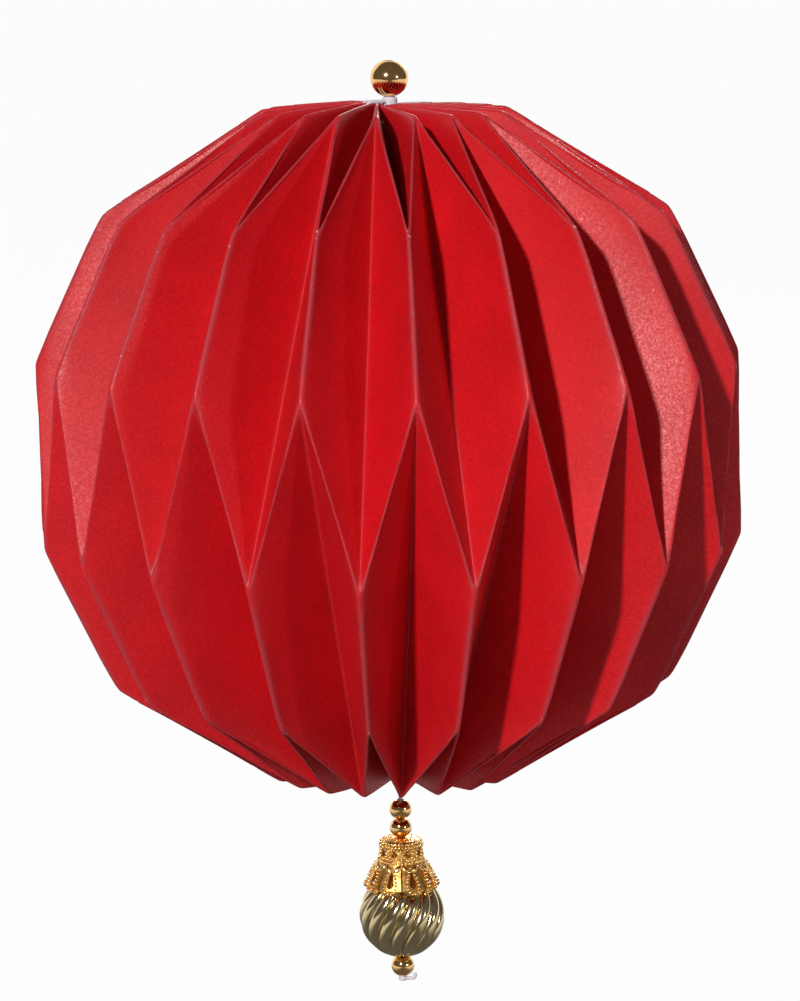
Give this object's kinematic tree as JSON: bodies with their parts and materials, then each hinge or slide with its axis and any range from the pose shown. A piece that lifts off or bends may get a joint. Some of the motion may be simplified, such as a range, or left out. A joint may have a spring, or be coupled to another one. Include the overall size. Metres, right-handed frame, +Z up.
{
  "type": "folded paper globe ornament",
  "caption": "Pleated paper globe with zigzag diamond folds, gathered at both ends, with a bead to hang it by and a pendant of metal beads under it.",
  "frame": {"origin": "centre of the top bead, in the hole that the hanging cord goes through", "axes": "+Z up along the bead's hole and the ornament's axis; -Y towards the camera of the reference picture, less a turn of about 4 degrees; +X to its right"},
  "size_m": [0.0956, 0.0956, 0.1271],
  "materials": {
    "pearl_paper": "red card with a pearl sheen",
    "white_thread": "waxed white thread",
    "polished_gold": "polished, gold plated",
    "orange_gold": "pressed filigree, warm gold plating",
    "pale_gold": "corrugated, pale gold plating"
  },
  "bodies": {
    "root": {"paper_globe": "pearl_paper", "top_gather_thread": "white_thread", "bottom_gather_thread": "white_thread", "pendant_thread": "white_thread", "top_bead": "polished_gold", "upper_spacer_bead": "polished_gold", "lower_spacer_bead": "polished_gold", "filigree_cap": "orange_gold", "swirl_bead": "pale_gold", "end_bead": "polished_gold"}
  },
  "joints": []
}
